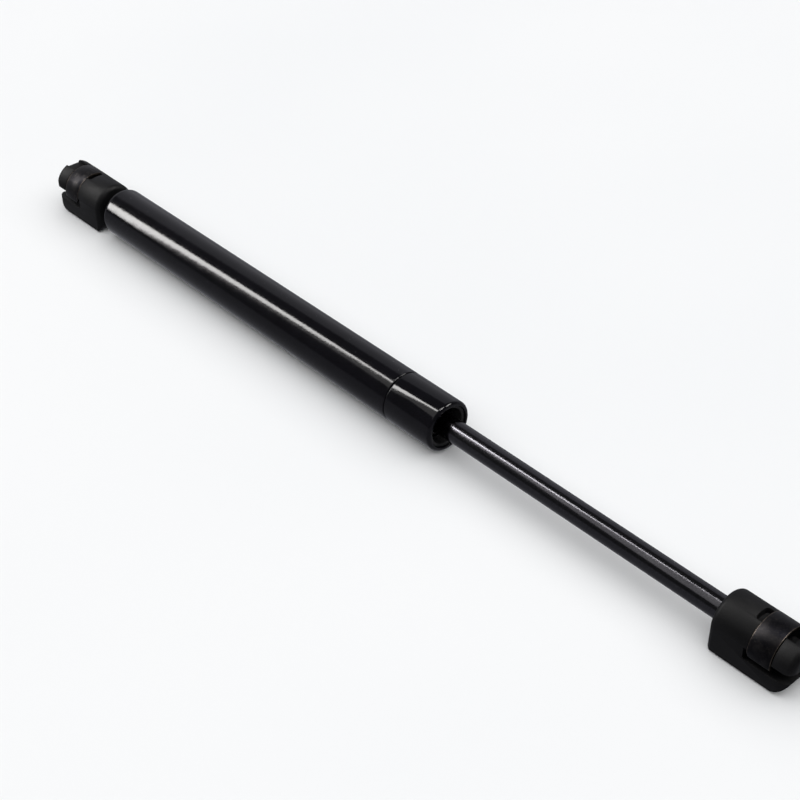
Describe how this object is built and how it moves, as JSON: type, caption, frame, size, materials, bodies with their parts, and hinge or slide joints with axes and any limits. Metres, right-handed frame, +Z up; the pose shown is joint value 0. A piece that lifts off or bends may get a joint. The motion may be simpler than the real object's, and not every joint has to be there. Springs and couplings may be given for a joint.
{
  "type": "gas strut stay",
  "caption": "Gas strut stay: gloss black tube with end sleeve, sliding rod and a clip-on ball socket at each end.",
  "frame": {"origin": "centre of the ball in the tube-end socket, with the rod fully out", "axes": "+X along the strut from the tube end to the rod end; +Z up, away from the flat undersides that the sockets' mouths open through"},
  "size_m": [0.3698, 0.019, 0.019],
  "materials": {
    "tube_paint": "gloss black paint",
    "sleeve_paint": "gloss black paint",
    "rod_steel": "dark nitrided steel, fine ground grain, satin",
    "socket_plastic": "black glass-filled nylon, moulded, satin",
    "clip_steel": "dark oiled spring steel",
    "seal_rubber": "black nitrile rubber",
    "ring_plastic": "black plastic",
    "guide_bronze": "sintered bronze",
    "piston_alloy": "machined aluminium",
    "stud_steel": "zinc-plated steel"
  },
  "bodies": {
    "cylinder": {"pressure_tube": "tube_paint", "tube_end_plug": "tube_paint", "plug_o_ring": "seal_rubber", "tube_stud": "rod_steel", "end_sleeve": "sleeve_paint", "mouth_ring": "ring_plastic", "rod_guide": "guide_bronze", "guide_o_ring": "seal_rubber", "seal_washer": "stud_steel", "rod_seal": "seal_rubber", "wiper_ring": "ring_plastic", "tube_socket": "socket_plastic"},
    "tube_clip": {"tube_clip": "clip_steel"},
    "piston_ring": {"piston_ring": "guide_bronze"},
    "rod": {"piston_rod": "rod_steel", "piston": "piston_alloy", "stop_washer": "stud_steel", "orifice_disc": "stud_steel", "piston_nut": "stud_steel", "rebound_bumper": "seal_rubber", "rod_socket": "socket_plastic"},
    "rod_clip": {"rod_clip": "clip_steel"}
  },
  "joints": [
    {"name": "rod_slide", "type": "slide", "parent": "cylinder", "child": "piston_ring", "axis": [-1, 0, 0], "range_m": [0, 0.11], "stiffness_N_per_m": 250, "springref_m": -0.35},
    {"name": "rod_spin", "type": "hinge", "parent": "piston_ring", "child": "rod", "pos_m": [0.17, 0, 0], "axis": [1, 0, 0], "continuous": true},
    {"name": "tube_clip_lift", "type": "slide", "parent": "cylinder", "child": "tube_clip", "axis": [0, 0, 1], "range_m": [0, 0.0021], "stiffness_N_per_m": 150, "springref_m": -0.002},
    {"name": "rod_clip_lift", "type": "slide", "parent": "rod", "child": "rod_clip", "axis": [0, 0, 1], "range_m": [0, 0.0021], "stiffness_N_per_m": 150, "springref_m": -0.002}
  ]
}
